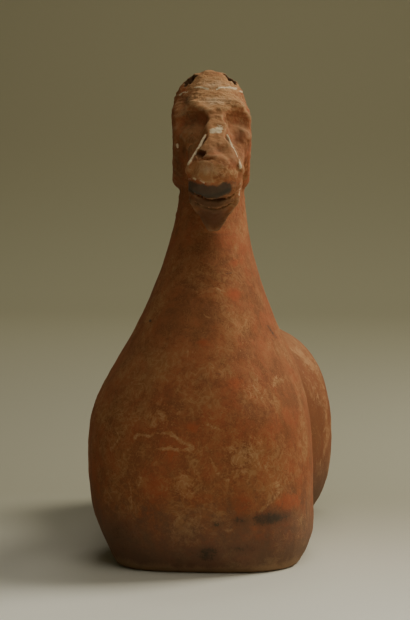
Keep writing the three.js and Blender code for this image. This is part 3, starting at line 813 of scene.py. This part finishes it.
class Socket:
    """A shader socket. A sum on it adds the Math node that works it out."""

    def __init__(self, tree, socket):
        self.tree = tree
        self.socket = socket

    def maths(self, operation, *values):
        return add_node(self.tree, "ShaderNodeMath", {"operation": operation}, dict(enumerate(values)))

    def __abs__(self):
        return self.maths("ABSOLUTE", self)

    def __add__(self, other):
        return self.maths("ADD", self, other)

    def __sub__(self, other):
        return self.maths("SUBTRACT", self, other)

    def __rsub__(self, other):
        return self.maths("SUBTRACT", other, self)

    def __mul__(self, other):
        return self.maths("MULTIPLY", self, other)

    __radd__ = __add__
    __rmul__ = __mul__

    def above(self, start, end):
        """0 below start, 1 above end, and smooth between."""
        settings = {"interpolation_type": "SMOOTHSTEP"}
        inputs = {"Value": self, "From Min": start, "From Max": end}
        return add_node(self.tree, "ShaderNodeMapRange", settings, inputs)


def add_node(tree, kind, settings=None, inputs=None, output=0):
    """Adds a node, sets it up, and gives the socket of its output."""
    node = tree.nodes.new(kind)
    for name, value in (settings or {}).items():
        setattr(node, name, value)
    for name, value in (inputs or {}).items():
        if isinstance(value, Socket):
            tree.links.new(value.socket, node.inputs[name])
        else:
            node.inputs[name].default_value = value
    return Socket(tree, node.outputs[output])


def mixed(tree, first, second, share):
    """Two colours, each a triple or a socket, mixed by a share of the second."""
    first, second = (side if isinstance(side, Socket) else (*side, 1) for side in (first, second))
    return add_node(tree, "ShaderNodeMix", {"data_type": "RGBA"}, {0: share, 6: first, 7: second}, 2)


def fired_clay():
    """Iron-red pigment worn off brown clay, with tan soil, smoke stains and traces of white paint, and with
    painted shade in hollows, creases and on the shaded left, and painted highlights on edges, the upper lip
    and what faces up.
    """
    material = bpy.data.materials.new("fired clay")
    material.use_nodes = True
    tree = material.node_tree
    place = add_node(tree, "ShaderNodeTexCoord", output="Object")

    def cloud(scale, detail, stretch=None, twist=0.0, rough=0.6):
        """Noise of about 0.3 to 0.7, which may be stretched along an axis."""
        spot = place
        if stretch:
            spot = add_node(tree, "ShaderNodeVectorMath", {"operation": "MULTIPLY"}, {0: place, 1: stretch})
        inputs = {"Vector": spot, "Scale": scale, "Detail": detail, "Roughness": rough, "Distortion": twist}
        return add_node(tree, "ShaderNodeTexNoise", None, inputs)

    def mark(name):
        """How much of a finish the mesh says lies here."""
        return add_node(tree, "ShaderNodeAttribute", {"attribute_name": name}, output="Fac")

    height_above = add_node(tree, "ShaderNodeSeparateXYZ", None, {0: place}, "Z")
    behind = add_node(tree, "ShaderNodeSeparateXYZ", None, {0: place}, "Y").above(-0.02, 0.12)

    broad, mottle, speck = cloud(8, 3), cloud(36, 5, twist=0.8), cloud(150, 5, twist=0.5, rough=0.72)
    grain, streaks = cloud(650, 3), cloud(48, 4, (1.0, 1.0, 0.14))
    soil, worms = cloud(17, 5, twist=0.6), cloud(70, 2, twist=1.5)
    lines = (0.06 - abs(worms - 0.5)).above(0, 0.045)
    ragged = (speck - 0.5) * 1.3 + (mottle - 0.5) * 0.9 + (grain - 0.5) * 0.5

    red = (broad * 0.5 + mottle * 0.5 + speck * 0.2).above(0.45, 0.75)
    colour = mixed(tree, (0.26, 0.095, 0.038), (0.37, 0.096, 0.038), red)
    pale = (mark("pale") + ragged * 0.8).above(0.38, 0.68)
    white = (mark("white") + ragged * 0.9).above(0.4, 0.62)
    foot = (height_above + ragged * 0.05).above(0.01, 0.1)
    coats = [
        # Worn clay, tan soil, streaks, and a lighter coat on what faces up: settled soil and painted top
        # light
        ((0.14, 0.058, 0.027), (1.0 - speck * 0.7 - mottle * 0.6).above(0.2, 0.55) * 0.45),
        ((0.4, 0.175, 0.07), (soil * 0.7 + speck * 0.5).above(0.52, 0.8) * 0.7),
        ((0.38, 0.17, 0.068), (streaks * 0.6 + grain * 0.5).above(0.52, 0.75) * 0.4),
        ((0.44, 0.23, 0.1), (mark("up") + ragged * 0.5).above(0.25, 1.2) * 0.75),
        # Root marks, dark specks and light flecks
        ((0.43, 0.225, 0.095), lines * (soil + speck * 0.4).above(0.62, 0.85) * 0.7),
        ((0.12, 0.052, 0.024), (speck * 0.5 + grain * 0.6).above(0.58, 0.76) * 0.6),
        ((0.44, 0.2, 0.08), (0.5 - speck * 0.5 + grain * 0.6).above(0.59, 0.7) * 0.45),
        # The darker body behind the breast, with its tan flakes
        ((0.19, 0.07, 0.03), (mottle * 0.6 + speck * 0.6).above(0.44, 0.7) * behind * 0.85),
        ((0.5, 0.27, 0.125), (soil * 0.5 + speck * 0.6).above(0.55, 0.67) * behind * 0.6),
        # Fresh red, pale scratches and dust; on the upper lip and the low right of the breast the pale marks
        # are partly painted light
        ((0.46, 0.1, 0.036), (mark("red") + ragged * 0.7).above(0.35, 0.8) * 0.65),
        ((0.43, 0.22, 0.092), pale * 0.65),
        ((0.5, 0.29, 0.14), pale * lines * 0.5),
        ((0.6, 0.44, 0.28), (mark("pale") + ragged * 0.5).above(0.7, 1.25) * 0.6),
        # The grey foot, darker towards the bottom; painted shade in the hollows; painted highlights on the
        # edges; the dark marks, mostly painted shade with some dark soil; smoke stains with some painted
        # shade; and white paint
        ((0.16, 0.105, 0.073), 0.7 - foot * 0.7),
        # Painted shade: darker where the surface is hollow
        ((0.1, 0.055, 0.028), mark("hollow").above(0.15, 0.9) * 0.4),
        # Painted highlight: lighter on the edges, where the surface stands proud
        ((0.46, 0.29, 0.15), (ragged * 0.4 - mark("hollow")).above(0.15, 0.8) * 0.45),
        # Painted shade, with some dark soil, where the dark marks lie
        ((0.07, 0.034, 0.017), (mark("shade_and_dark_soil") + ragged * 0.5).above(0.1, 0.8) * 0.84),
        # Smoke stains, with painted shade from the two patches low on the left
        ((0.055, 0.05, 0.037), (mark("smoke_and_shade") + ragged * 0.8).above(0.35, 0.8) * 0.86),
        ((0.66, 0.53, 0.35), white * 0.9),
    ]
    for coat, share in coats:
        colour = mixed(tree, colour, coat, share)

    surface = tree.nodes["Principled BSDF"]
    tree.links.new(colour.socket, surface.inputs["Base Color"])
    tree.links.new((1.0 - broad * 0.2 - speck * 0.15).socket, surface.inputs["Roughness"])
    surface.inputs["Specular IOR Level"].default_value = 0.15
    rough = mottle * 0.4 + speck * 0.35 + streaks * 0.3 + grain * 0.08 + pale * lines * 0.15 + white * 0.15
    bump = add_node(tree, "ShaderNodeBump", None, {"Strength": 0.75, "Distance": 0.0016, "Height": rough})
    tree.links.new(bump.socket, surface.inputs["Normal"])
    return material


def pale_paper():
    """The paper of the floor, with a painted falloff of light: near white at the front, and darker and more
    olive towards the back and up the back wall.
    """
    material = bpy.data.materials.new("pale paper")
    material.use_nodes = True
    tree = material.node_tree
    place = add_node(tree, "ShaderNodeTexCoord", output="Object")
    back, up = (add_node(tree, "ShaderNodeSeparateXYZ", None, {0: place}, side) for side in "YZ")
    far = back + up
    # Painted light: lightest near the front, darker further back and up the wall
    colour = mixed(tree, (0.97, 0.95, 0.86), (0.355, 0.338, 0.25), far.above(-0.75, 0.35))
    colour = mixed(tree, colour, (0.41, 0.385, 0.25), far.above(1.0, 3.6))
    colour = mixed(tree, colour, (0.325, 0.295, 0.175), far.above(3.6, 5.0))
    surface = tree.nodes["Principled BSDF"]
    tree.links.new(colour.socket, surface.inputs["Base Color"])
    surface.inputs["Roughness"].default_value = 0.8
    return material


def build_horse():
    """The horse's mesh, marked in its own place, then set over the solid and weathered."""
    places, rings = even_skin(clay)
    slope = slope_of(clay, places, clay(*places.T))
    normals = slope / np.linalg.norm(slope, axis=1)[:, None]
    values = marks_on(places, normals)
    centre = (np.array(solid_box[0]) + np.array(solid_box[1])) / 2
    places[:, :2] += (centre - (places.min(0) + places.max(0)) / 2)[:2]
    worn = weather(places, normals)
    worn[:, 2] = np.maximum(worn[:, 2], 0)
    # Hollows and edges, from which the finish paints shade and highlights
    values["hollow"] = hollowness(worn, rings, normals)
    # How much the surface faces up, from which the finish paints settled soil and top light
    values["up"] = normals[:, 2]
    horse = new_mesh("tomb_horse", worn.tolist(), rings, fired_clay())
    for name, levels in values.items():
        add_values(horse.data, name, levels)
    return horse


def build_stage():
    """One sheet of paper: a floor that bends up into a back wall."""
    front, back, bend, wall, half = -5.0, 3.4, 1.4, 3.5, 6.0
    steps = 12
    profile = [(front, 0.0), (back, 0.0)]
    for step in range(1, steps + 1):
        angle = math.radians(90 * step / steps)
        profile.append((back + bend * math.sin(angle), bend * (1 - math.cos(angle))))
    profile.append((back + bend, bend + wall))
    places = [(side * half, y, z) for y, z in profile for side in (-1, 1)]
    strips = [(2 * i, 2 * i + 1, 2 * i + 3, 2 * i + 2) for i in range(len(profile) - 1)]
    new_mesh("floor", places, strips, pale_paper())


def aim(thing, place, target):
    """Puts a light or the camera at a place, so that it looks at its target."""
    thing.location = place
    thing.rotation_euler = (Vector(target) - Vector(place)).to_track_quat("-Z", "Y").to_euler()


def add_light(name, place, target, size, power, colour, spread=math.pi):
    """A square light of the given side and watts."""
    light = bpy.data.lights.new(name, "AREA")
    light.size = size
    light.energy = power
    light.color = colour
    light.spread = spread
    aim(new_object(name, light), place, target)


def light_studio():
    """A soft key high to the right, weak ones above and in front, one for the back wall, and a dim room."""
    add_light("key", (1.4, 0.72, 1.8), (0, 0, 0.25), 1.0, 44.5, (1, 0.955, 0.82))
    add_light("top", (0.3, -0.9, 2.0), (0, -0.3, 0.1), 1.2, 7.6, (1, 0.96, 0.85))
    add_light("low", (0.8, -1.0, 1.0), (0.8, -0.999, 0), 0.4, 3.4, (1, 0.97, 0.9), math.radians(65))
    add_light("wall", (0, 2.3, 3.2), (0, 4.2, 0.2), 1.5, 42, (1, 0.96, 0.86))
    add_light("fill", (1.5, -2.0, 1.0), (0, 0, 0.25), 1.5, 1.0, (1, 0.95, 0.84))
    world = bpy.data.worlds.new("studio")
    world.use_nodes = True
    room = world.node_tree.nodes["Background"]
    room.inputs["Color"].default_value = (0.92, 0.86, 0.54, 1)
    room.inputs["Strength"].default_value = 0.062
    bpy.context.scene.world = world


def add_camera():
    """The photograph's view: nearly level, from a little to the right of the horse's front."""
    lens = bpy.data.cameras.new("camera")
    lens.sensor_fit = "VERTICAL"
    lens.sensor_height = 24
    lens.lens = focal_length * lens.sensor_height / picture_height
    camera = new_object("camera", lens)
    aim(camera, camera_place, camera_place + camera_ahead)
    bpy.context.scene.camera = camera


add_camera()
light_studio()
build_stage()
horse = build_horse()
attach(horse, "root")
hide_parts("horse")
